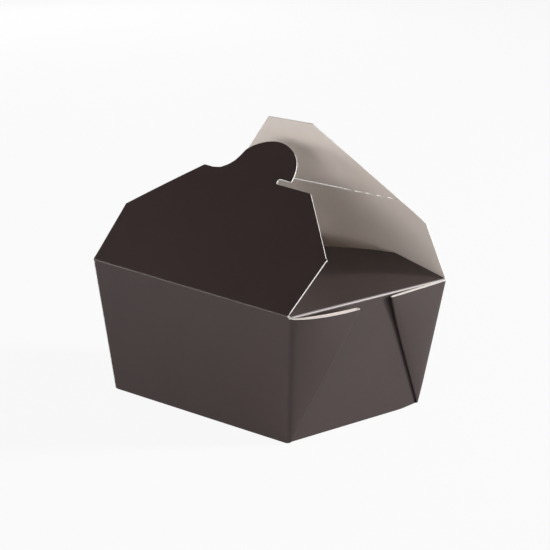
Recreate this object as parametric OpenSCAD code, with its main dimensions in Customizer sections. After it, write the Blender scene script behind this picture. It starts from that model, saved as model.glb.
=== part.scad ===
// Takeaway food box: one die-cut sheet of coated board, creased and folded
// into a flared tray with web corners, two end flaps and two top flaps.
// +X runs along the long side, +Y from the front wall to the back wall and
// +Z up. The origin is the centre of the base's underside.

/* [Board] */
// Thickness of the board
board = 0.45; // [0.3:0.05:0.8]

/* [Tray] */
// Length of the tray at its top
top_length = 130; // [120:1:150]
// Width of the tray at its top
top_width = 105.8; // [96:0.2:116]
// Length of the base
base_length = 113.6; // [100:0.2:118]
// Width of the base
base_width = 88.6; // [78:0.2:94]
// Height of the creases that the top flaps turn on
height = 62.4; // [50:0.2:80]

/* [Web corners] */
// Distance from a corner to the tip of its web, along the top
web_reach = 45; // [30:0.5:47]
// Space between the two layers of a web at its tip
web_loop = 2; // [1:0.1:3]
// How far the front webs stand off the end wall at the tip
front_web_lift = 2.8; // [1.5:0.1:6]
// How far the back webs stand off the end wall at the tip
back_web_lift = 5.6; // [1.5:0.1:8]
// How far a web's outer layer bulges beside the corner
web_bulge = 2.6; // [0:0.1:4]
// How far a web's tip lies below the top of the wall
web_drop = 2; // [0:0.5:6]

/* [End flaps] */
// Length of an end flap from its crease to its free edge
end_flap_length = 57; // [40:0.5:60]
// Length of an end flap's straight side
end_flap_side = 28; // [15:0.2:36]
// Inset of an end flap's side edge at the crease
end_flap_gap = 1.1; // [0.8:0.1:3]
// Inset of an end flap's side edge at its corner
end_flap_inset = 5; // [2:0.1:8]
// Width of an end flap's free edge
end_flap_tip = 44; // [20:1:60]
// Angle by which an end flap's back corner has sprung up
end_flap_spring = 17; // [0:0.1:20]

/* [Front flap] */
// Length of the front flap without its locking tab
front_length = 62.2; // [50:0.2:64]
// Length of the front flap's straight side
front_side = 31.7; // [20:0.1:40]
// Width of the front flap's free edge
front_tip = 66.2; // [60:0.2:90]
// Radius of the locking tab
tab_radius = 19.8; // [15:0.1:24]
// Distance of the locking tab's centre beyond the flap's free edge
tab_offset = 1.9; // [0:0.1:4]
// Radius of the fillet beside the locking tab
tab_fillet = 5.5; // [2:0.1:8]
// Width of the hook notch that holds the tab in the slit
notch_width = 2.8; // [1:0.1:4]
// Distance from the flap's middle to the inner end of the notch
notch_end = 11.8; // [6:0.1:14]
// Angle of the front flap above the top of the tray
front_angle = 44.4; // [20:0.1:90]

/* [Back flap] */
// Length of the back flap
back_length = 80; // [66:0.2:84]
// Length of the back flap's straight side
back_side = 32; // [20:0.2:40]
// Width of the back flap's free edge
back_tip = 27.8; // [20:0.2:60]
// Length of the slit that takes the locking tab
slit_length = 36; // [24:0.5:44]
// Width of the slit
slit_width = 0.8; // [0.5:0.1:2]
// Width of the scored line that runs on from the slit
score_width = 0.9; // [0.6:0.1:1.5]
// Depth of the scored line
score_depth = 0.12; // [0.05:0.01:0.2]
// Angle of the back flap above the top of the tray
back_angle = 60.8; // [20:0.1:110]

/* [Clearances] */
// Gap between a top flap's edge and the wall below it
crease_gap = 0.5; // [0.3:0.05:0.8]
// Distance from a top flap's side edge to the end of the wall's crease
flap_side_gap = 0.3; // [0.2:0.05:1]
// Gap between the glued layers of a web
layer_gap = 0.15; // [0.1:0.05:0.4]

/* [Hidden] */
$fn = 96;

outside = [0.3, 0.265, 0.255];
inside = [0.86, 0.83, 0.79];

half = board / 2;
end_lean = atan((top_length - base_length) / 2 / height);
side_lean = atan((top_width - base_width) / 2 / height);
// Level of the walls' cut edge, below the creases of the top flaps
rim = height - half - crease_gap;
// Middle of the board at the top and at the base, measured from the centre
mid_x = top_length / 2 - half / cos(end_lean);
mid_y = top_width / 2 - half / cos(side_lean);
foot_x = base_length / 2 - half / cos(end_lean);
foot_y = base_width / 2 - half / cos(side_lean);
// Distance between the middles of two layers that lie on each other
layer = board + layer_gap;
// The slit lies where the locking tab comes down when both flaps are flat
slit_at = 2 * mid_y - front_length;
// The end flaps leave the wall just under its cut edge
end_crease = rim - half - 0.1;

// Box with flared walls, from z = 0 to the top crease, grown by a margin
module flared(margin) {
    far = [top_length / 2 + margin / cos(end_lean), top_width / 2 + margin / cos(side_lean)];
    near = [base_length / 2 + margin / cos(end_lean), base_width / 2 + margin / cos(side_lean)];
    linear_extrude(height = height, scale = [far.x / near.x, far.y / near.y], slices = 1)
        square(2 * near, center = true);
}

// Base and four walls, cut off at the rim
module shell() {
    difference() {
        flared(0);
        difference() {
            flared(-board);
            translate([-top_length, -top_width, -1])
                cube([2 * top_length, 2 * top_width, 1 + board]);
        }
        translate([-top_length, -top_width, rim])
            cube([2 * top_length, 2 * top_width, height]);
    }
}

// Sheet through a grid of points: rows[i][j] is a pair, the point on the
// sheet's upper face and the one on its lower face. Seen from the upper face,
// the columns j run to the right of the rows i
module sheet(rows) {
    last_row = len(rows) - 1;
    last_column = len(rows[0]) - 1;
    points = [for (side = [0, 1], row = rows, pair = row) pair[side]];
    function at(side, i, j) = (side * (last_row + 1) + i) * (last_column + 1) + j;
    function panel(p, q, r, s) = [[p, q, r], [p, r, s]];
    faces = [
        for (i = [0 : last_row - 1], j = [0 : last_column - 1]) each concat(
            panel(at(0, i, j), at(0, i + 1, j), at(0, i + 1, j + 1), at(0, i, j + 1)),
            panel(at(1, i, j), at(1, i, j + 1), at(1, i + 1, j + 1), at(1, i + 1, j))
        ),
        for (i = [0 : last_row - 1]) each concat(
            panel(at(0, i, 0), at(1, i, 0), at(1, i + 1, 0), at(0, i + 1, 0)),
            panel(at(0, i, last_column), at(0, i + 1, last_column),
                at(1, i + 1, last_column), at(1, i, last_column))
        ),
        for (j = [0 : last_column - 1]) each concat(
            panel(at(0, 0, j), at(0, 0, j + 1), at(1, 0, j + 1), at(1, 0, j)),
            panel(at(0, last_row, j), at(1, last_row, j), at(1, last_row, j + 1), at(0, last_row, j + 1))
        )
    ];
    polyhedron(points, faces, convexity = 6);
}

// A web's section at a level from 0 at the base to 1 at the top, as points
// [along the wall, out from the wall]: the outer layer leaves the corner and
// runs to the tip, turns back round the loop and returns as the inner layer
outer_steps = [0, 0.012, 0.03, 0.06, 0.1, 0.16, 0.25, 0.38, 0.52, 0.68, 0.84, 1];
inner_steps = [0.9, 0.72, 0.5, 0.3, 0.15, 0.07];
function web_tip(level) = 3 * layer + level * (web_reach - 3 * layer);
function loop_radius(level) = layer / 2 + level * (web_loop - layer) / 2;
function outer_at(along, share, level, lift) =
    2 * layer * (1 - exp(-2 * along / layer))
    + level * (lift + web_loop / 2 - 2 * layer) * share
    + level * web_bulge * (1 - share) * (1 - exp(-along / 2.2));
function inner_at(share, level, lift) =
    layer + level * (lift - web_loop / 2 - layer) * pow(share, 1.6);
function web_section(level, lift) =
    let (radius = loop_radius(level))
    let (run = web_tip(level) - radius)
    let (centre = (outer_at(run, 1, level, lift) + inner_at(1, level, lift)) / 2)
    let (turn = (outer_at(run, 1, level, lift) - inner_at(1, level, lift)) / 2)
    concat(
        [for (s = outer_steps) [s * run, outer_at(s * run, s, level, lift)]],
        [for (q = [60, 30, 0, -30, -60]) [run + radius * cos(q), centre + turn * sin(q)]],
        [for (s = concat([1], inner_steps)) [s * run, inner_at(s, level, lift)]],
        [[0.035 * run, 0.5 * layer]]
    );

// A section's point pushed to one face of the board
function toward(points, i, side) =
    let (back = points[max(i - 1, 0)])
    let (ahead = points[min(i + 1, len(points) - 1)])
    let (run = (ahead - back) / norm(ahead - back))
    points[i] + side * half * [-run.y, run.x];

// Place of a section's point on the end wall at the right of the front wall
function on_wall(point, level) =
    [foot_x + level * (mid_x - foot_x), -foot_y - level * (mid_y - foot_y), level * height]
    + point.x * [0, 1, 0]
    + point.y * [cos(end_lean), 0, -sin(end_lean)];

// Web between the front wall and the end wall, folded flat on the end wall
module web(lift) {
    base_level = 2 * board / height;
    top_section = web_section(1, lift);
    low_section = web_section(base_level, lift);
    reach = max([for (point = top_section) point.x]);
    low = [for (i = [0 : len(low_section) - 1])
        [for (side = [1, -1]) on_wall(toward(low_section, i, side), base_level)]];
    high = [for (i = [0 : len(top_section) - 1])
        let (level = (rim - 0.05 - web_drop * top_section[i].x / reach) / height)
        let (section = web_section(level, lift))
        [for (side = [1, -1]) on_wall(toward(section, i, side), level)]];
    sheet([low, high]);
}

// Half of an end flap's width at a distance from its crease
function end_flap_half(out) =
    out < end_flap_side
    ? mid_y - end_flap_gap - (end_flap_inset - end_flap_gap) * out / end_flap_side
    : let (share = (out - end_flap_side) / (end_flap_length - end_flap_side))
      (mid_y - end_flap_inset) * (1 - share) + end_flap_tip / 2 * share;

// Rise of an end flap: it lies flat at the front and has sprung up at the back
function end_flap_rise(out, y) =
    out * tan(end_flap_spring * pow(max(0, (y + mid_y) / (2 * mid_y)), 1.5));

// End flap at the right, folded in over the opening
module end_flap() {
    steps = 20;
    outs = [0, end_flap_side / 2, end_flap_side,
        (end_flap_side + end_flap_length) / 2, end_flap_length];
    sheet([for (out = outs)
        [for (i = [0 : steps])
            let (y = end_flap_half(out) * (2 * i / steps - 1))
            [for (side = [1, -1])
                [mid_x - out, y, end_crease + end_flap_rise(out, y) + side * half]]]]);
}

module tray() {
    color(outside)
        union() {
            shell();
            for (flip = [0, 1])
                mirror([flip, 0, 0]) {
                    web(front_web_lift);
                    mirror([0, 1, 0]) web(back_web_lift);
                    end_flap();
                }
        }
}

// Outline of a top flap: straight sides, then a taper to the free edge, which
// may have further points from right to left
module flap_outline(length, side, tip, free_edge = []) {
    edge = mid_x - flap_side_gap;
    polygon(concat(
        [[-edge, -half], [edge, -half], [edge, side], [tip / 2, length]],
        free_edge,
        [[-tip / 2, length], [-edge, side]]
    ));
}

// Points along an arc, from one angle to another
function arc(centre, radius, from, to, steps) =
    [for (i = [0 : steps])
        let (angle = from + (to - from) * i / steps)
        centre + radius * [cos(angle), sin(angle)]];

// Free edge of the front flap, from right to left: the hook notch, the round
// locking tab and the fillet that joins the tab to the edge
function tab_edge() =
    let (notch_x = notch_end + notch_width / 2)
    let (start = asin((notch_width - tab_offset) / tab_radius))
    let (meet = asin((tab_fillet - tab_offset) / (tab_radius + tab_fillet)))
    let (fillet_x = (tab_radius + tab_fillet) * cos(meet))
    concat(
        arc([notch_x, front_length + notch_width / 2], notch_width / 2, 270, 90, 12),
        arc([0, front_length + tab_offset], tab_radius, start, 180 - meet, 60),
        arc([-fillet_x, front_length + tab_fillet], tab_fillet, -meet, -90, 12)
    );

// Stands a flat flap up on the crease of the front wall
module on_front_crease(angle) {
    translate([0, -mid_y, height])
        rotate([angle, 0, 0])
            translate([0, 0, -half])
                children();
}

module front_flap() {
    color(outside)
        on_front_crease(front_angle)
            linear_extrude(board)
                flap_outline(front_length, front_side, front_tip, tab_edge());
}

module back_flap() {
    color(inside)
        mirror([0, 1, 0])
            on_front_crease(back_angle)
                difference() {
                    linear_extrude(board)
                        difference() {
                            flap_outline(back_length, back_side, back_tip);
                            translate([0, slit_at])
                                square([slit_length, slit_width], center = true);
                            for (end = [-1, 1])
                                translate([end * slit_length / 2, slit_at])
                                    circle(slit_width / 2);
                        }
                    for (flip = [0, 1])
                        mirror([flip, 0, 0])
                            translate([slit_length / 2 + slit_width, slit_at - score_width / 2, -1])
                                cube([top_length, score_width, 1 + score_depth]);
                }
}

tray();
front_flap();
back_flap();
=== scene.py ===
import math

import bpy
import numpy as np
from mathutils import Matrix, Vector


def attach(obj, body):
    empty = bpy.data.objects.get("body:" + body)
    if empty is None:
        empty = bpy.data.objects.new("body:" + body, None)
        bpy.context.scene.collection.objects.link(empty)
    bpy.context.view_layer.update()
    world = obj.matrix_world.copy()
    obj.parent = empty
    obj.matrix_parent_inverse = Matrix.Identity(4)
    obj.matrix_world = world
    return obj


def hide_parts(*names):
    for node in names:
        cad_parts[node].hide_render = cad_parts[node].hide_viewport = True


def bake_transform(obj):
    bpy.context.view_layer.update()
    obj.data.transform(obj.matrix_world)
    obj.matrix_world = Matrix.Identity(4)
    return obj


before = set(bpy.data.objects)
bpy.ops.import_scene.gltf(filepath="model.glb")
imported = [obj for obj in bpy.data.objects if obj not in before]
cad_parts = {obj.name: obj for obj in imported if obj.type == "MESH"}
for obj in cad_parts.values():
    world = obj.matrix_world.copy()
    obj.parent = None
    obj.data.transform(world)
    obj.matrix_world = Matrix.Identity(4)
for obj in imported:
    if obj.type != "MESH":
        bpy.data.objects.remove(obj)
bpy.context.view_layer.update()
print("frame loaded")

# All lengths below are millimetres and all angles are degrees, until a mesh is made
mm = 0.001

# What the whole box shares. The numbers repeat the part's source
box = {
    "board": 0.45,
    "topLength": 130.0,
    "topWidth": 105.8,
    "baseLength": 113.6,
    "baseWidth": 88.6,
    "height": 62.4,
    "endDrop": 0.5,  # how far below that height the end walls' creases lie
    "creaseReach": 0.4,  # how far a crease's bend reaches to each side of it
    "burr": 0.14,  # how far the die has pressed the printed face back from a cut edge
    "footRadius": 0.9,  # bend between the base and a wall
}
half = box["board"] / 2
endLean = math.atan((box["topLength"] - box["baseLength"]) / 2 / box["height"])
sideLean = math.atan((box["topWidth"] - box["baseWidth"]) / 2 / box["height"])
midX = box["topLength"] / 2 - half / math.cos(endLean)
midY = box["topWidth"] / 2 - half / math.cos(sideLean)
footX = box["baseLength"] / 2 - half / math.cos(endLean)
footY = box["baseWidth"] / 2 - half / math.cos(sideLean)
endCrease = box["height"] - box["endDrop"]


# Share from 0 to 1 with a soft start and end: three squares of it less two cubes
def soften(share):
    share = np.clip(share, 0, 1)
    return share * share * (3 - 2 * share)


# Vectors divided by their own length
def unit(vectors):
    length = np.linalg.norm(vectors, axis=-1, keepdims=True)
    return vectors / np.where(length < 1e-12, 1, length)


# Direction of a line of points at each point: the sum of the unit steps before and after it
def heading(points, axis):
    step = unit(np.diff(points, axis=axis))
    pad = [(0, 0)] * points.ndim
    pad[axis] = (1, 0)
    before = np.pad(step, pad)
    pad[axis] = (0, 1)
    return unit(before + np.pad(step, pad))


# Faces of a grid of the given shape, as the numbers of their corners counted from start
def gridFaces(shape, start):
    ids = start + np.arange(shape[0] * shape[1]).reshape(shape)
    corners = [ids[:-1, :-1], ids[:-1, 1:], ids[1:, 1:], ids[1:, :-1]]
    return np.stack(corners, -1).reshape(-1, 4)


# Board: each patch is a grid of points in the middle of the board, with its rows running
# up the board and its columns to the right of them as the printed face is seen. Points that
# coincide are merged. The printed face lies half a board out along the normal, which is the
# columns' direction crossed with the rows', and the inner face half a board in. A side that
# only one face uses is a cut edge and is closed by a narrow face. There the printed face
# ends a burr's width further in, towards the normal crossed with the side's direction.
# The marks are point attributes, and "joined" is 1 where a side meets another piece.
def makeBoard(name, patches, finishes, marks):
    points = np.concatenate([p.reshape(-1, 3) for p in patches])
    normals = np.concatenate(
        [unit(np.cross(heading(p, 1), heading(p, 0))).reshape(-1, 3) for p in patches]
    )
    starts = np.cumsum([0] + [p.shape[0] * p.shape[1] for p in patches])
    quads = np.concatenate([gridFaces(p.shape[:2], start) for p, start in zip(patches, starts)])
    _, first, welded = np.unique(
        np.round(points, 4), axis=0, return_index=True, return_inverse=True
    )
    welded = welded.reshape(-1)
    count = len(first)
    summed = np.zeros((count, 3))
    np.add.at(summed, welded, normals)
    middle, normal = points[first], unit(summed)

    # A face with two equal corners is a triangle, and one with more of them is left out
    quads = welded[quads]
    same = quads == np.roll(quads, -1, axis=1)
    full = quads[same.sum(1) == 0]
    folded = same.sum(1) == 1
    triangles = quads[folded][~same[folded]].reshape(-1, 3)
    sides = np.concatenate(
        [np.stack([full[:, k], full[:, (k + 1) % 4]], 1) for k in range(4)]
        + [np.stack([triangles[:, k], triangles[:, (k + 1) % 3]], 1) for k in range(3)]
    ).astype(np.int64)
    there = sides[:, 0] * count + sides[:, 1]
    back = sides[:, 1] * count + sides[:, 0]
    edge = sides[~np.isin(there, back)]
    edgeFaces = np.stack([edge[:, 1], edge[:, 0], edge[:, 0] + count, edge[:, 1] + count], 1)

    marks = {
        mark: np.concatenate([g.reshape(-1) for g in grids])[first]
        for mark, grids in marks.items()
    }
    along = unit(middle[edge[:, 1]] - middle[edge[:, 0]])
    inward = np.zeros((count, 3))
    for end in (0, 1):
        np.add.at(inward, edge[:, end], np.cross(normal[edge[:, end]], along))
    inward = unit(inward) * box["burr"] * (1 - marks.pop("joined"))[:, None]
    outside, inside = middle + half * normal + inward, middle - half * normal + inward / 3
    vertices = np.concatenate([outside, inside]) * mm
    groups = [full, triangles, full[:, ::-1] + count, triangles[:, ::-1] + count, edgeFaces]
    slots = np.repeat([0, 0, 1, 1, 2], [len(g) for g in groups]).astype(np.int32)

    mesh = bpy.data.meshes.new(name)
    mesh.from_pydata(vertices.tolist(), [], [face for g in groups for face in g.tolist()])
    mesh.polygons.foreach_set("material_index", slots)
    mesh.polygons.foreach_set("use_smooth", np.ones(len(mesh.polygons), bool))
    ends = np.zeros(len(mesh.edges) * 2, np.int32)
    mesh.edges.foreach_get("vertices", ends)
    ends = np.sort(ends.reshape(-1, 2), axis=1).astype(np.int64)
    borders = np.sort(np.concatenate([edge, edge + count]), axis=1)
    sharp = np.isin(
        ends[:, 0] * 2 * count + ends[:, 1], borders[:, 0] * 2 * count + borders[:, 1]
    )
    mesh.attributes.new("sharp_edge", "BOOLEAN", "EDGE").data.foreach_set("value", sharp)
    for mark, values in marks.items():
        values = np.tile(values, 2).astype(np.float32)
        mesh.attributes.new(mark, "FLOAT", "POINT").data.foreach_set("value", values)
    for finish in finishes:
        mesh.materials.append(finish)
    mesh.update()
    board = bpy.data.objects.new(name, mesh)
    bpy.context.scene.collection.objects.link(board)
    print(name, len(vertices), "points")
    return board


# Materials


# sRGB hex value to the linear colour that a shader takes
def linear(hexValue):
    s = np.array([int(hexValue[i : i + 2], 16) for i in (1, 3, 5)]) / 255
    return (*np.where(s <= 0.04045, s / 12.92, ((s + 0.055) / 1.055) ** 2.4).tolist(), 1.0)


# Adds a node with its settings and values; a link is (input of the new node, output socket)
def addNode(tree, kind, settings=None, values=None, links=()):
    node = tree.nodes.new(kind)
    for name, value in (settings or {}).items():
        setattr(node, name, value)
    for name, value in (values or {}).items():
        node.inputs[name].default_value = value
    for name, source in links:
        tree.links.new(source, node.inputs[name])
    return node


# New material without any node
def emptyMaterial(name):
    material = bpy.data.materials.new(name)
    material.use_nodes = True
    material.node_tree.nodes.clear()
    return material, material.node_tree


printed = {
    "darkest": "#3d302f",
    "palest": "#423534",
    "cloud": 14.0,  # mm across a patch of slightly thicker or thinner ink
    "crackedInkAndHighlight": "#958c8b",  # bare fibres where a crease has cracked the ink, mixed with a painted highlight of the crease's rounded shoulder
    "fibre": 0.9,  # mm across a clump of fibres that shows through the coating
    "fibreDepth": 0.02,
    "roughness": (0.39, 0.48),
    "specular": 0.5,
}


# Solid bleached board printed all over in black-brown ink under a thin water-based varnish:
# satin, with the faint unevenness of the fibres below it
def varnishedPrint():
    material, tree = emptyMaterial("varnished_print_on_board")
    place = addNode(tree, "ShaderNodeTexCoord")
    cloud = addNode(
        tree, "ShaderNodeTexNoise", {},
        {"Scale": 1 / (printed["cloud"] * mm), "Detail": 3.0, "Roughness": 0.6},
        [("Vector", place.outputs["Object"])],
    )
    fibre = addNode(
        tree, "ShaderNodeTexNoise", {},
        {"Scale": 1 / (printed["fibre"] * mm), "Detail": 4.0, "Roughness": 0.65},
        [("Vector", place.outputs["Object"])],
    )
    ink = addNode(
        tree, "ShaderNodeMix", {"data_type": "RGBA"},
        {"A": linear(printed["darkest"]), "B": linear(printed["palest"])},
        [("Factor", cloud.outputs["Fac"])],
    )
    # Paler along the end flaps' creases: cracked ink, and a painted highlight of the rounded crease
    crackAndHighlight = addNode(tree, "ShaderNodeAttribute", {"attribute_name": "crackAndHighlight"})
    colour = addNode(
        tree, "ShaderNodeMix", {"data_type": "RGBA"}, {"B": linear(printed["crackedInkAndHighlight"])},
        [("Factor", crackAndHighlight.outputs["Fac"]), ("A", ink.outputs["Result"])],
    )
    bump = addNode(
        tree, "ShaderNodeBump", {}, {"Strength": 0.25, "Distance": printed["fibreDepth"] * mm},
        [("Height", fibre.outputs["Fac"])],
    )
    gloss = addNode(
        tree, "ShaderNodeMapRange", {},
        {"To Min": printed["roughness"][0], "To Max": printed["roughness"][1]},
        [("Value", fibre.outputs["Fac"])],
    )
    shader = addNode(
        tree, "ShaderNodeBsdfPrincipled", {},
        {"IOR": 1.5, "Specular IOR Level": printed["specular"]},
        [("Base Color", colour.outputs["Result"]), ("Roughness", gloss.outputs["Result"]),
         ("Normal", bump.outputs["Normal"])],
    )
    addNode(tree, "ShaderNodeOutputMaterial", {}, {}, [("Surface", shader.outputs["BSDF"])])
    return material


lined = {
    "colour": "#f1e7df",
    "shade": "#eaded5",
    "cloud": 18.0,  # mm across a patch of slightly darker pulp
    "fibre": 1.4,  # mm across a clump of fibres
    "fibreDepth": 0.03,
    "roughness": 0.5,
    "film": 0.5,
    "filmRoughness": 0.22,
}


# Inner face of the same board: cream fibres under a clear grease barrier film, pale and
# with a soft gloss of its own
def greaseBarrier():
    material, tree = emptyMaterial("grease_barrier_on_board")
    place = addNode(tree, "ShaderNodeTexCoord")
    cloud = addNode(
        tree, "ShaderNodeTexNoise", {},
        {"Scale": 1 / (lined["cloud"] * mm), "Detail": 4.0, "Roughness": 0.6},
        [("Vector", place.outputs["Object"])],
    )
    fibre = addNode(
        tree, "ShaderNodeTexNoise", {},
        {"Scale": 1 / (lined["fibre"] * mm), "Detail": 4.0, "Roughness": 0.6},
        [("Vector", place.outputs["Object"])],
    )
    pulp = addNode(
        tree, "ShaderNodeMix", {"data_type": "RGBA"},
        {"A": linear(lined["colour"]), "B": linear(lined["shade"])},
        [("Factor", cloud.outputs["Fac"])],
    )
    bump = addNode(
        tree, "ShaderNodeBump", {}, {"Strength": 0.2, "Distance": lined["fibreDepth"] * mm},
        [("Height", fibre.outputs["Fac"])],
    )
    shader = addNode(
        tree, "ShaderNodeBsdfPrincipled", {},
        {"IOR": 1.5, "Roughness": lined["roughness"], "Coat Weight": lined["film"],
         "Coat Roughness": lined["filmRoughness"]},
        [("Base Color", pulp.outputs["Result"]), ("Normal", bump.outputs["Normal"])],
    )
    addNode(tree, "ShaderNodeOutputMaterial", {}, {}, [("Surface", shader.outputs["BSDF"])])
    return material


dieCut = {
    "colour": "#fdfbf9",
    "shade": "#f1ece8",
    "fibre": 0.8,  # mm across a clump of fibres
    "roughness": 0.9,
    "specular": 0.2,
}


# Die-cut edge of the board: bare white fibres, rough and without any gloss
def rawEdge():
    material, tree = emptyMaterial("raw_cut_edge_of_board")
    place = addNode(tree, "ShaderNodeTexCoord")
    fibre = addNode(
        tree, "ShaderNodeTexNoise", {}, {"Scale": 1 / (dieCut["fibre"] * mm), "Detail": 3.0},
        [("Vector", place.outputs["Object"])],
    )
    pulp = addNode(
        tree, "ShaderNodeMix", {"data_type": "RGBA"},
        {"A": linear(dieCut["colour"]), "B": linear(dieCut["shade"])},
        [("Factor", fibre.outputs["Fac"])],
    )
    shader = addNode(
        tree, "ShaderNodeBsdfPrincipled", {},
        {"Roughness": dieCut["roughness"], "Specular IOR Level": dieCut["specular"]},
        [("Base Color", pulp.outputs["Result"])],
    )
    addNode(tree, "ShaderNodeOutputMaterial", {}, {}, [("Surface", shader.outputs["BSDF"])])
    return material


finishes = [varnishedPrint(), greaseBarrier(), rawEdge()]
print("finishes made")

# Tray: base, four walls, four folded web corners

tray = {
    # how far each top corner stands from its place in the source: x, y, z
    "frontLeft": (1.8, 0.0, 1.5),
    "frontRight": (0.0, 0.0, -0.96),
    "backRight": (0.0, -0.85, -0.46),
    "backLeft": (0.0, 0.0, 0.0),
    "frontBow": 0.5,  # how far a wall's middle stands out
    "backBow": 0.4,
    "endBow": -0.3,
    "layer": 0.5,  # distance between the middles of two layers that touch
    "cornerLift": 0.9,  # how far the base's back right corner is off the floor
    "liftReach": 7.0,  # how soon that fades along the base
    "liftHeight": 12.0,  # and up to what height it reaches
}

# Each web: how far it reaches along the end wall, how much lower its top edge is cut at the
# tip and half way, and how far the inner layer's top edge rises above the outer one's. Then,
# at the levels in webLevels: how much its bulge pulls the tip back, how far the outer and
# the inner layer stand off the wall at the tip, how soon the layers get there, as a share of
# the reach, how far the outer layer swells in the middle, and how far it rounds down to its
# fold. What isn't given is none.
webLevels = (0.0, 0.1, 0.3, 0.5, 0.75, 1.0)
frontWeb = {
    "reach": 40.4, "drop": 0.65, "sag": 0.35, "rise": 0.5,
    "pull": (0.0, 0.3, 0.7, 1.1, 1.3, 0.1),
    "outer": (1.2, 1.9, 3.3, 4.7, 6.1, 6.1),
    "inner": (0.6, 1.1, 2.1, 3.2, 4.4, 4.5),
    "ease": (0.7, 0.7, 0.7, 0.65, 0.55, 0.22),
}
backWeb = {
    "reach": 41.0, "drop": 0.7, "sag": 0.0, "rise": 0.35,
    "outer": (1.0, 1.1, 1.1, 1.1, 1.4, 2.7),
    "inner": (0.5, 0.55, 0.55, 0.55, 0.75, 1.8),
    "ease": (3.0, 3.0, 3.0, 3.0, 3.0, 3.0),
    "swell": (0.0, 0.1, 0.3, 0.5, 0.6, 0.0),
    "nose": (0.0, 0.1, 0.25, 0.3, 0.3, 0.0),
}
webFold = {
    "shortest": 2.4,  # length of a web at the base's corner, in layers
    "stepLength": 1.5,  # how soon the outer layer has stepped over the inner one, in layers
    "turnAt": 1.5,  # where the inner layer ends before the corner, in layers
    "noseLength": 2.0,  # how far before the fold the outer layer starts to round down
    "noseStart": 3.0,  # and how soon after the corner that may start
    "clear": 0.05,  # how far the top edge stays below the end flap
    "points": (40, 13, 30, 8),  # on the outer layer, the fold, the inner layer, its end
}

endFlap = {
    "length": 57.0,
    "side": 28.0,  # from the crease out to the corners of its sides
    "gap": 1.1,  # how much narrower than the box each side starts
    "inset": 5.0,  # and is at its corner
    "tip": 44.0,  # width of the free edge
    "spring": 17.0,  # degrees by which the back corner has sprung up
    "bend": 0.9,  # radius of the crease
    "crackAndHighlightWidth": 1.3,  # where the ink has cracked and the crease's highlight is painted, across the crease
    "crackAndHighlightSoft": 0.3,
    "crackAndHighlightFade": 6.0,  # how far that fades at both ends
}

# Side of the middle that each corner is on: 1 is to the right and to the back
cornerSides = {
    "frontLeft": (-1, -1), "frontRight": (1, -1), "backRight": (1, 1), "backLeft": (-1, 1)
}

# Levels of the walls' rows, from the bend into the base to the top, closer together there
wallLevels = np.linspace((half + box["footRadius"]) / box["height"], 1, 30)
wallLevels = np.sort(np.append(wallLevels, [0.985, 0.991, 0.995]))[:, None]
wallSteps = 40


# Corner line of the walls at a level from 0 at the base to 1 at the top: a straight line
# from the base corner to the top corner, which is moved by that corner's offset
def cornerLine(name, level):
    right, back = cornerSides[name]
    low = np.array([right * footX, back * footY, 0.0])
    high = np.array([right * midX, back * midY, box["height"]]) + np.array(tray[name])
    return low + level[..., None] * (high - low)


# Values given at a few places, joined by a smooth curve: between two places a cubic whose
# slope at each is the mean slope of its two neighbours
def smoothCurve(at, places, values):
    places, values = np.array(places), np.array(values)
    slopes = np.gradient(values, places)
    k = np.clip(np.searchsorted(places, at, "right") - 1, 0, len(places) - 2)
    width = places[k + 1] - places[k]
    t = (at - places[k]) / width
    return (
        (1 + 2 * t) * (1 - t) ** 2 * values[k] + t * (1 - t) ** 2 * width * slopes[k]
        + t * t * (3 - 2 * t) * values[k + 1] + t * t * (t - 1) * width * slopes[k + 1]
    )


# Section of a web as (along, out) points from the corner: the outer layer steps out by two
# layers, moves out along a decaying exponential with a parabola on top and rounds down to its
# tip, turns back in half an ellipse, returns as the inner layer and turns round onto the wall
def webSection(level, web):
    layer = tray["layer"]
    pull, outTip, inTip, pace, swell, nose = (
        smoothCurve(level, webLevels, web.get(part, (0.0,) * len(webLevels)))[:, None]
        for part in ("pull", "outer", "inner", "ease", "swell", "nose")
    )
    outerPoints, foldPoints, innerPoints, endPoints = webFold["points"]
    radius = (outTip - inTip) / 2
    length = level[:, None] * web["reach"] - pull
    run = np.sqrt(length**2 + (webFold["shortest"] * layer) ** 2) - radius

    def ease(share):
        return (1 - np.exp(-share / pace)) / (1 - np.exp(-1 / pace))

    def outer(along, share):
        step = 2 * layer * (1 - np.exp(-along / layer / webFold["stepLength"]))
        bulge = swell * 4 * share * (1 - share)
        rounded = nose * (1 - np.exp((along - run) / webFold["noseLength"]))
        rounded = rounded * (1 - np.exp(-along / webFold["noseStart"]))
        return step + (outTip - 2 * layer) * ease(share) + bulge + rounded

    def inner(share):
        return layer + (inTip - layer) * ease(share)

    share = np.linspace(0, 1, outerPoints)[None, :] ** 1.8
    first = np.stack([share * run, outer(share * run, share)], -1)
    angle = np.radians(np.linspace(90, -90, foldPoints + 2))[None, 1:-1]
    fold = (outTip + inTip) / 2 + radius * np.sin(angle)
    second = np.stack([run + radius * np.cos(angle), fold], -1)
    turnAt = webFold["turnAt"] * layer
    along = turnAt + np.linspace(1, 0, innerPoints)[None, :] ** 1.5 * (run - turnAt)
    third = np.stack([along, inner(along / run)], -1)
    angle = np.radians(np.linspace(90, 270, endPoints + 1))[None, 1:]
    depth = inner(turnAt / run) / 2
    end = turnAt + layer / 2 * np.cos(angle) + 0 * depth
    fourth = np.stack([end, depth + depth * np.sin(angle)], -1)
    return np.concatenate([first, second, third, fourth], 1)


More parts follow.
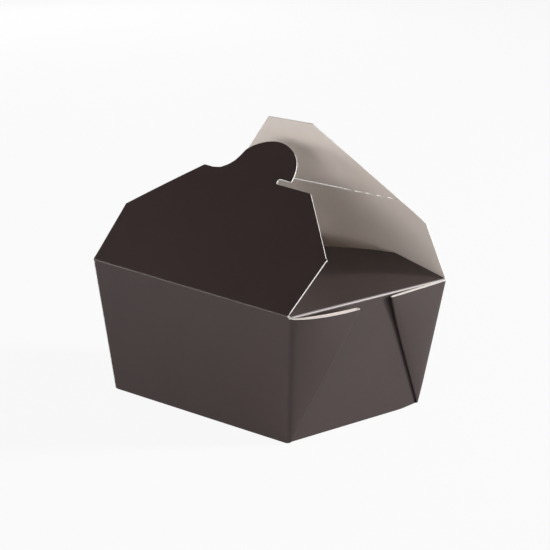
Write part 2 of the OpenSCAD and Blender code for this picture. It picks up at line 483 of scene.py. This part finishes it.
# Columns of a web: each point of the section stands on the corner line, along the end wall
# and out of it. A column ends lower by a share of its distance from the corner, and the
# inner layer's a little higher
def webColumns(name, other, web):
    topSection = webSection(np.ones(1), web)[0]
    share = np.clip(topSection[:, 0] / web["reach"], 0, 1)
    fall = web["drop"] * share + web["sag"] * np.sin(np.pi * share**1.5)
    start = sum(webFold["points"][:2])
    inner = slice(start, start + webFold["points"][2])
    fall[inner] -= web["rise"] * np.sin(np.pi * share[inner]) ** 0.5
    level = wallLevels * (endCrease - half - webFold["clear"] - fall) / box["height"]
    count = len(fall)
    sections = webSection(level.reshape(-1), web).reshape(*level.shape, count, 2)
    section = sections[:, np.arange(count), np.arange(count)]
    corner, far = cornerLine(name, level), cornerLine(other, level)
    out = np.array([cornerSides[name][0] * math.cos(endLean), 0, -math.sin(endLean)])
    return corner + section[..., :1] * unit(far - corner) + section[..., 1:] * out


# Columns of a wall between two corner lines, bowed out by a sine in both directions. It
# starts and ends a distance skip from them, and its top is at a share of the height
def wallColumns(start, end, bow, topShare, skip=0.0):
    level = wallLevels * topShare
    a, b = cornerLine(start, level), cornerLine(end, level)
    cut = skip / np.linalg.norm(b - a, axis=-1)
    share = cut + np.linspace(0, 1, wallSteps + 1) * (1 - 2 * cut)
    swell = bow * np.sin(np.pi * share) * np.sin(np.pi * level)
    across = unit(np.cross((b - a)[-1, 0], [0, 0, 1.0]))
    return a + share[..., None] * (b - a) + swell[..., None] * across


# Base below the walls' lowest row: a quarter circle inwards and down, on which the webs
# shrink into their corner, and then rows that run straight to the base's centre line
def baseRows(foot, target):
    angle = np.radians(np.linspace(90, 0, 8))[:, None, None]
    limits = np.array([footX, footY])
    bent = foot + soften(angle / (math.pi / 2)) * (target - foot)
    flat = bent[..., :2]
    near = soften((np.abs(flat) - limits + 3) / 3)
    inset = box["footRadius"] * (1 - np.cos(angle))
    bent[..., :2] = flat - np.sign(flat) * inset * near
    bent[..., 2] = half + box["footRadius"] * (1 - np.sin(angle[..., 0]))
    edge = bent[0]
    centre = np.zeros_like(edge)
    centre[:, 0] = np.clip(edge[:, 0], -(footX - footY), footX - footY)
    centre[:, 2] = half
    share = np.linspace(0, 1, 7)[:-1, None, None]
    return np.concatenate([centre + share * (edge - centre), bent[:-1]])


# Tray: walls and webs side by side round the box, and the base below them. Round the base's
# back right corner a bell curve lifts them a little off the floor
def trayPatch():
    topCrease = 1 - box["creaseReach"] / box["height"]
    topBend = (endCrease - endFlap["bend"]) / box["height"]
    skip = webFold["turnAt"] * tray["layer"]
    parts = [
        (None, wallColumns("frontLeft", "frontRight", tray["frontBow"], topCrease)),
        ("frontRight", webColumns("frontRight", "backRight", frontWeb)),
        (None, wallColumns("frontRight", "backRight", tray["endBow"], topBend, skip)),
        ("backRight", webColumns("backRight", "frontRight", backWeb)[:, ::-1]),
        (None, wallColumns("backRight", "backLeft", tray["backBow"], topCrease)),
        ("backLeft", webColumns("backLeft", "frontLeft", backWeb)),
        (None, wallColumns("backLeft", "frontLeft", tray["endBow"], topBend, skip)),
        ("frontLeft", webColumns("frontLeft", "backLeft", frontWeb)[:, ::-1]),
    ]
    walls = np.concatenate([part for _, part in parts], 1)
    target = np.concatenate([
        0 * part[0] + cornerLine(name, np.zeros(1)) if name else part[0] for name, part in parts
    ])
    grid = np.concatenate([baseRows(walls[0], target), walls])
    away = (grid[..., :2] - np.array([footX, footY])) / tray["liftReach"]
    lift = tray["cornerLift"] * np.exp(-(away**2).sum(-1))
    grid[..., 2] += lift * soften(1 - grid[..., 2] / tray["liftHeight"])
    joined = np.zeros(grid.shape[:2])
    joined[-1] = np.concatenate([np.full(part.shape[1], name is None) for name, part in parts])
    return grid, joined


grid, joined = trayPatch()
trayPiece = makeBoard("tray_shell", [grid], finishes, {"joined": [joined]})
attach(trayPiece, "tray")
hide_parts("tray")
print("tray made")

# End flaps


# Half of an end flap's width at a distance out from its crease: the side narrows evenly
# to its corner and then tapers to the free edge
def endFlapHalf(out):
    f = endFlap
    near = midY - f["gap"] - (f["inset"] - f["gap"]) * out / f["side"]
    share = (out - f["side"]) / (f["length"] - f["side"])
    return np.where(out < f["side"], near, (midY - f["inset"]) * (1 - share) + f["tip"] / 2 * share)


# Share of bare fibres and painted highlight at an end flap's crease, by the distance from the start
# of the bend:
# full in the middle of that width, none at both sides of it, and fading to both ends
def creaseCrackAndHighlight(distance, y):
    f = endFlap
    start, end = distance / f["crackAndHighlightSoft"], (f["crackAndHighlightWidth"] - distance) / f["crackAndHighlightSoft"]
    return soften(start) * soften(end) * soften((midY - np.abs(y)) / f["crackAndHighlightFade"]) ** 0.5


# Mark of a grid whose first row, and for a crease also the last, meets another piece
def firstRow(grid, last=False):
    joined = np.zeros(grid.shape[:2])
    joined[0] = 1
    if last:
        joined[-1] = 1
    return joined


# End flap: the wall's direction turns round an arc into the flap's, and the flap rises with
# the distance from the crease by the tangent of an angle that grows towards the back
def endFlapPatch(side):
    f = endFlap
    level = np.array([(endCrease - f["bend"]) / box["height"]])
    front, back = (
        cornerLine(end + ("Right" if side > 0 else "Left"), level)[0] for end in ("front", "back")
    )
    columns = np.linspace(-1, 1, 61)[None, :]
    turn = np.linspace(0, 1, 9)[:, None]
    # rows beyond the bend, closer together near it
    outs = [np.linspace(1.2, 6, 7), np.linspace(8, f["side"], 12)]
    outs = np.concatenate(outs + [np.linspace(f["side"], f["length"], 15)[1:]])[:, None]
    start = math.pi / 2 - endLean

    def spring(y):
        return np.radians(f["spring"] * np.clip((y + midY) / (2 * midY), 0, 1) ** 1.5)

    def onBend(angle):
        x = f["bend"] * (np.sin(angle) - math.sin(start))
        return x, f["bend"] * (math.cos(start) - np.cos(angle))

    yArc = columns * endFlapHalf(0.0) + 0 * turn
    xArc, zArc = onBend(start + turn * (math.pi - spring(yArc) - start))
    yFlat = columns * endFlapHalf(outs)
    xEnd, zEnd = onBend(math.pi - spring(yFlat))
    xFlat = -outs + 0 * yFlat
    zFlat = zEnd + (xEnd - xFlat) * np.tan(spring(yFlat))
    x, y, z = (np.concatenate(pair) for pair in ((xArc, xFlat), (yArc, yFlat), (zArc, zFlat)))
    wall = front + ((y + midY) / (2 * midY))[..., None] * (back - front)
    points = np.stack([wall[..., 0] + side * x, y, wall[..., 2] + z], -1)
    length = f["bend"] * (math.pi - start)
    distance = np.concatenate([turn * length, length + outs])
    # Paler crease band: cracked ink and a painted highlight of the crease
    crackAndHighlight = creaseCrackAndHighlight(distance, y)
    if side < 0:
        points, crackAndHighlight = points[:, ::-1], crackAndHighlight[:, ::-1]
    return points, crackAndHighlight


for side, name in ((1, "end_flap_right"), (-1, "end_flap_left")):
    grid, crackAndHighlight = endFlapPatch(side)
    piece = makeBoard(name, [grid], finishes, {"crackAndHighlight": [crackAndHighlight], "joined": [firstRow(grid)]})
    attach(piece, "tray")
print("end flaps made")

# Front flap

frontFlap = {
    "length": 62.2,  # from the crease to the free edge
    "side": 31.75,  # from the crease to the corners of its sides
    "leftHalf": 64.2,  # from the middle to the left side edge
    "rightHalf": 64.0,
    "leftHalfAtCrease": 63.4,
    "tip": 66.2,  # width of the free edge
    "ear": 0.35,  # how far the die has left the right corner standing out
    "tabRadius": 19.3,
    "tabOffset": 2.0,  # from the free edge to the middle of the tab's circle
    # left flank of the tab: half width at a few heights above the free edge
    "flankHeights": (0.0, 0.6, 2.2, 5.2, 9.0, 13.0),
    "flankHalves": (27.6, 24.6, 21.7, 18.7, 16.9, 15.86),
    "notchWidth": 2.8,
    "notchEnd": 11.8,  # from the flap's middle to the inner end of the notch
    "angle": 44.9,
    "sourceAngle": 44.4,  # the same in the source
    "twist": -3.5,  # how much steeper the right end stands than the middle
}


# Height of the front crease: a straight line between the wall's two top corners
def frontCreaseHeight(x):
    share = (x + midX) / (2 * midX)
    return box["height"] + tray["frontLeft"][2] * (1 - share) + tray["frontRight"][2] * share


# Place of a point of the flat front flap: a straight line from the crease at that point,
# at an angle that changes evenly along the crease
def onFrontFlap(u, v):
    angle = np.radians(frontFlap["angle"] + frontFlap["twist"] * u / midX)
    return np.stack([u, -midY + v * np.cos(angle), frontCreaseHeight(u) + v * np.sin(angle)], -1)


# Grid between a left and a right line of (u, v) points
def between(left, right, shares):
    return left[:, None] + shares[None, :, None] * (right - left)[:, None]


# Front flap: the panel from the crease to the free edge, with straight sides and corners;
# the tab's neck, between its left flank and the notch, a half circle; and the tab's head,
# between the rest of the flank and a circle, closed at its top
def frontPatches():
    f = frontFlap
    tipHalf, notchHalf = f["tip"] / 2, f["notchWidth"] / 2
    low = np.append(np.linspace(box["creaseReach"], f["side"] - 0.6, 14), f["side"])
    high = np.append(f["side"] + 0.5, np.linspace(f["side"] + 1.1, f["length"], 14))
    share = low / f["side"]
    leftLow = f["leftHalfAtCrease"] + (f["leftHalf"] - f["leftHalfAtCrease"]) * share
    share = (high - f["side"]) / (f["length"] - f["side"])
    left = -np.append(leftLow, f["leftHalf"] * (1 - share) + tipHalf * share)
    rightHigh = f["rightHalf"] * (1 - share) + tipHalf * share
    right = np.append(np.full_like(low, f["rightHalf"]), rightHigh)
    right[len(low) - 1 : len(low) + 1] += f["ear"]
    v = np.append(low, high)
    footLeft = f["flankHalves"][0]
    footRight = f["notchEnd"] + notchHalf
    # columns: the free edge left of the tab, the tab's foot, and the free edge right of it
    foot = np.linspace(-footLeft, footRight, 25)
    edge = np.concatenate([
        np.linspace(-tipHalf, -footLeft, 5), foot[1:], np.linspace(footRight, tipHalf, 9)[1:]
    ])
    shares = (edge + tipHalf) / f["tip"]
    panel = between(np.stack([left, v], -1), np.stack([right, v], -1), shares)

    rise = notchHalf * (1 - np.cos(np.linspace(0, np.pi, 11)))
    v = f["length"] + rise
    flank = smoothCurve(rise, f["flankHeights"], f["flankHalves"])
    notch = footRight - np.sqrt(np.clip(notchHalf**2 - (rise - notchHalf) ** 2, 0, None))
    footShares = (foot + footLeft) / (footRight + footLeft)
    neck = between(np.stack([-flank, v], -1), np.stack([notch, v], -1), footShares)

    radius, offset = f["tabRadius"], f["tabOffset"]
    bottom = f["notchWidth"]
    rise = bottom + (offset + radius - bottom) * np.sin(np.linspace(0, np.pi / 2, 34))
    v = f["length"] + rise
    # at the top a hair of the circle's width is left, so that the row there has a direction
    circle = np.sqrt(np.clip(radius**2 - (rise - offset) ** 2, 1e-12, None))
    flank = smoothCurve(rise, f["flankHeights"], f["flankHalves"])
    left = -np.where(rise < f["flankHeights"][-1], flank, circle)
    width = circle[0] - left[0]
    headShares = np.append(
        footShares * (footRight - left[0]) / width,
        (np.linspace(footRight, circle[0], 6)[1:] - left[0]) / width,
    )
    head = between(np.stack([left, v], -1), np.stack([circle, v], -1), headShares)
    grids = [onFrontFlap(g[..., 0], g[..., 1]) for g in (panel, neck, head)]
    joined = [firstRow(panel), np.zeros(neck.shape[:2]), np.zeros(head.shape[:2])]
    return grids, {"joined": joined}


grids, marks = frontPatches()
frontPiece = makeBoard("front_flap_board", grids, finishes, marks)
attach(frontPiece, "front_flap")
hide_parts("front_flap")
print("front flap made")

# Back flap

backFlap = {
    "length": 80.0,
    "side": 32.0,  # from the crease to the corners of its sides
    "halfWidth": 64.6,
    "tip": 27.8,  # width of the free edge
    "angle": 60.4,
    "sourceAngle": 60.8,
    "twist": 1.2,  # how much steeper the right end stands than the middle
    "slitAt": 43.1,  # from the crease
    "slitHalf": 18.0,  # half of its length
    "slitWidth": 0.5,
    "cut": 6.0,  # length of each cut in the perforated line that goes on from the slit
    "nick": 0.7,  # length of the bridge between two cuts
    "cutWidth": 0.3,
}


# Place and height of the back crease: a straight line between the wall's two top corners
def backCreasePlace(x):
    share = (x + midX) / (2 * midX)
    y = midY + tray["backLeft"][1] * (1 - share) + tray["backRight"][1] * share
    z = box["height"] + tray["backLeft"][2] * (1 - share) + tray["backRight"][2] * share
    return y, z


# Place of a point of the flat back flap, as on the front flap but leaning the other way
def onBackFlap(u, v):
    angle = np.radians(backFlap["angle"] + backFlap["twist"] * u / midX)
    y, z = backCreasePlace(u)
    return np.stack([u, y - v * np.cos(angle), z + v * np.sin(angle)], -1)


# Half of the back flap's width at a distance from its crease: straight up to the side's
# corner, and then tapering evenly to the free edge
def backHalf(v):
    f = backFlap
    share = np.clip((v - f["side"]) / (f["length"] - f["side"]), 0, 1)
    return f["halfWidth"] * (1 - share) + f["tip"] / 2 * share


# Back flap: one grid below the slit's line and one above it, whose columns end on the same
# points there, and a small face for each bridge that the die has left in the line
def backPatches():
    f = backFlap
    edge = float(backHalf(f["slitAt"]))
    starts = np.arange(f["slitHalf"], edge - f["cut"], f["cut"] + f["nick"])
    right = np.sort(np.concatenate([
        np.linspace(0, f["slitHalf"], 7), starts[1:], starts + f["nick"], [edge - f["nick"], edge]
    ]))
    columns = np.append(-right[:0:-1], right)
    gap = np.where(np.abs(columns) <= f["slitHalf"], f["slitWidth"], f["cutWidth"])
    lowRows = np.append(
        np.linspace(box["creaseReach"], f["side"], 12), np.linspace(f["side"], f["slitAt"], 6)[1:]
    )
    highRows = np.linspace(f["slitAt"], f["length"], 14)
    patches = []
    for rows, last, way in ((lowRows, -1, -1), (highRows, 0, 1)):
        v = np.repeat(rows[:, None], len(columns), 1)
        v[last] += way * gap / 2
        patches.append(np.stack([columns * (backHalf(rows) / edge)[:, None], v], -1))
    joined = [firstRow(patches[0]), np.zeros(patches[1].shape[:2])]
    bridges = np.append(starts, edge - f["nick"])
    for place in np.append(bridges, -bridges - f["nick"]):
        k = int(np.argmin(np.abs(columns - place)))
        bridge = slice(k, k + 2)
        u, v = columns[bridge], np.stack([patches[0][-1, bridge, 1], patches[1][0, bridge, 1]])
        patches.append(np.stack([u + 0 * v, v], -1))
        joined.append(np.ones((2, 2)))
    grids = [onBackFlap(g[..., 0], g[..., 1])[:, ::-1] for g in patches]
    return grids, {"joined": [j[:, ::-1] for j in joined]}


grids, marks = backPatches()
backPiece = makeBoard("back_flap_board", grids, finishes, marks)
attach(backPiece, "back_flap")
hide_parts("back_flap")
print("back flap made")

# Creases of the two top flaps


# Crease: a quadratic curve from creaseReach below the crease line, along the wall, past the
# line and to creaseReach beyond it, along the flap. Side is -1 in front and 1 at the back
def creasePatch(u, onFlap, side):
    reach = box["creaseReach"]
    line = onFlap(u, np.zeros_like(u))
    wall = np.array([0, side * math.sin(sideLean), math.cos(sideLean)])
    flap = unit(onFlap(u, np.ones_like(u)) - line)
    share = np.linspace(0, 1, 11)[:, None, None]
    return (
        (1 - share) ** 2 * (line - reach * wall)
        + 2 * share * (1 - share) * line
        + share**2 * (line + reach * flap)
    )


# Strip over a crease: it bends between the wall's direction and the flap's
def creaseStrip(name, u, onFlap, side):
    grid = creasePatch(u, onFlap, side)
    strip = makeBoard(name + "_crease_strip", [grid], finishes, {"joined": [firstRow(grid, True)]})
    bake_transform(strip)


u = np.linspace(-frontFlap["leftHalfAtCrease"], frontFlap["rightHalf"], 60)
creaseStrip("front", u, onFrontFlap, -1)
u = np.linspace(backFlap["halfWidth"], -backFlap["halfWidth"], 60)
creaseStrip("back", u, onBackFlap, 1)
print("creases made")

# Floor, lamps and camera, with lengths in metres

floorCard = {
    "colour": "#ececec",
    "seen": 0.92,  # share of plain white where the camera looks; the rest keeps the shadow
    "mirrored": 0.18,  # the same share in reflections and through glass
    "half": 3.0,
    "below": 0.00005,
}


# Floor: a pale matt card, mixed with plain white where the camera or a reflection looks
def makeFloor():
    material, tree = emptyMaterial("pale_floor")
    card = addNode(
        tree, "ShaderNodeBsdfPrincipled", {},
        {"Roughness": 0.9, "Base Color": linear(floorCard["colour"]), "Specular IOR Level": 0.1},
    )
    white = addNode(tree, "ShaderNodeEmission", {}, {"Strength": 1.0})
    path = addNode(tree, "ShaderNodeLightPath")
    seen = addNode(
        tree, "ShaderNodeMath", {"operation": "MULTIPLY"}, {1: floorCard["seen"]},
        [(0, path.outputs["Is Camera Ray"])],
    )
    mirrored = addNode(
        tree, "ShaderNodeMath", {"operation": "MAXIMUM"}, {},
        [(0, path.outputs["Is Glossy Ray"]), (1, path.outputs["Is Transmission Ray"])],
    )
    share = addNode(
        tree, "ShaderNodeMath", {"operation": "MULTIPLY_ADD"}, {1: floorCard["mirrored"]},
        [(0, mirrored.outputs["Value"]), (2, seen.outputs["Value"])],
    )
    mixed = addNode(
        tree, "ShaderNodeMixShader", {}, {},
        [("Fac", share.outputs["Value"]), (1, card.outputs["BSDF"]),
         (2, white.outputs["Emission"])],
    )
    addNode(tree, "ShaderNodeOutputMaterial", {}, {}, [("Surface", mixed.outputs["Shader"])])
    mesh = bpy.data.meshes.new("floor")
    size = floorCard["half"]
    corners = [(-size, -size, 0), (size, -size, 0), (size, size, 0), (-size, size, 0)]
    mesh.from_pydata(corners, [], [(0, 1, 2, 3)])
    mesh.materials.append(material)
    floor = bpy.data.objects.new("floor", mesh)
    floor.location.z = -floorCard["below"]
    bpy.context.scene.collection.objects.link(floor)


makeFloor()

# One small lamp behind the box and to its right, which draws its shadows, and large soft
# ones that stand round it just above the floor
lamps = {
    "key": {"azimuth": 47, "height": 0.524, "away": 1.427, "size": (0.25, 0.25), "watts": 27.0},
    "backLeft": {"azimuth": 155, "height": 0.35, "away": 1.467, "size": (1.1, 0.5), "watts": 5.0},
    "left": {"azimuth": 225, "height": 0.2, "away": 1.467, "size": (1.1, 0.36), "watts": 8.2},
    "front": {"azimuth": 287, "height": 0.2, "away": 1.467, "size": (1.1, 0.36), "watts": 9.4},
}
lampTarget = Vector((0, 0, 0.06))


# Lamp: it stands at an azimuth counted from +X towards +Y and looks at the box
def makeLamp(name, values):
    light = bpy.data.lights.new(name, "AREA")
    light.shape = "RECTANGLE"
    light.size, light.size_y = values["size"]
    light.energy = values["watts"]
    lamp = bpy.data.objects.new(name, light)
    turn = math.radians(values["azimuth"])
    away = values["away"]
    place = Vector((away * math.cos(turn), away * math.sin(turn), values["height"]))
    lamp.location = place
    lamp.rotation_euler = (lampTarget - place).to_track_quat("-Z", "Y").to_euler()
    bpy.context.scene.collection.objects.link(lamp)


for name, values in lamps.items():
    makeLamp(name, values)


room = {
    "fill": 0.02,
    "horizon": 0.15,  # share of plain white in reflections of the horizon
    "fade": (0.1, 0.4),  # heights between which that share fades to none
}


# World: plain white where the camera looks at it, and for reflections pale at the horizon
# and dark higher up, as a room is; a dim even fill lights the rest
def makeWorld():
    world = bpy.data.worlds.new("studio")
    bpy.context.scene.world = world
    world.use_nodes = True
    tree = world.node_tree
    tree.nodes.clear()
    colour = (1, 1, 1, 1)
    fill = addNode(tree, "ShaderNodeBackground", {}, {"Color": colour, "Strength": room["fill"]})
    white = addNode(tree, "ShaderNodeBackground", {}, {"Color": colour, "Strength": 1.0})
    path = addNode(tree, "ShaderNodeLightPath")
    place = addNode(tree, "ShaderNodeTexCoord")
    height = addNode(
        tree, "ShaderNodeSeparateXYZ", {}, {}, [("Vector", place.outputs["Generated"])]
    )
    horizon = addNode(
        tree, "ShaderNodeMapRange", {"interpolation_type": "SMOOTHSTEP"},
        {"From Min": room["fade"][0], "From Max": room["fade"][1],
         "To Min": room["horizon"], "To Max": 0.0},
        [("Value", height.outputs["Z"])],
    )
    mirrored = addNode(
        tree, "ShaderNodeMath", {"operation": "MAXIMUM"}, {},
        [(0, path.outputs["Is Glossy Ray"]), (1, path.outputs["Is Transmission Ray"])],
    )
    dimmed = addNode(
        tree, "ShaderNodeMath", {"operation": "MULTIPLY"}, {},
        [(0, mirrored.outputs["Value"]), (1, horizon.outputs["Result"])],
    )
    share = addNode(
        tree, "ShaderNodeMath", {"operation": "MAXIMUM"}, {},
        [(0, path.outputs["Is Camera Ray"]), (1, dimmed.outputs["Value"])],
    )
    mixed = addNode(
        tree, "ShaderNodeMixShader", {}, {},
        [("Fac", share.outputs["Value"]), (1, fill.outputs["Background"]),
         (2, white.outputs["Background"])],
    )
    addNode(tree, "ShaderNodeOutputWorld", {}, {}, [("Surface", mixed.outputs["Shader"])])


makeWorld()

view = {
    "azimuth": 44.14,
    "elevation": 13.84,
    "roll": 1.17,
    "distance": 1057.24,
    "focal": 2249.61,  # pixels of the frame
    "frame": 550,
    "sensor": 36.0,
    "target": (-0.44, 5.11, 58.58),
}


# Camera: it looks from the given azimuth and elevation at the target, both in the box's own
# millimetres, and is then rolled
def makeCamera():
    az, el, roll = (math.radians(view[k]) for k in ("azimuth", "elevation", "roll"))
    back = np.array([math.sin(az) * math.cos(el), -math.cos(az) * math.cos(el), math.sin(el)])
    across = np.array([math.cos(az), math.sin(az), 0.0])
    up = np.cross(back, across)
    right = across * math.cos(roll) + up * math.sin(roll)
    top = -across * math.sin(roll) + up * math.cos(roll)
    lens = bpy.data.cameras.new("camera")
    lens.sensor_fit = "HORIZONTAL"
    lens.sensor_width = view["sensor"]
    lens.lens = view["focal"] * view["sensor"] / view["frame"]
    lens.clip_start = 0.01
    camera = bpy.data.objects.new("camera", lens)
    place = (np.array(view["target"]) + view["distance"] * back) * mm
    camera.matrix_world = Matrix(
        [[right[k], top[k], back[k], place[k]] for k in range(3)] + [[0, 0, 0, 1]]
    )
    bpy.context.scene.collection.objects.link(camera)
    bpy.context.scene.camera = camera


makeCamera()
bpy.context.scene.view_settings.view_transform = "Standard"
print("stage made")
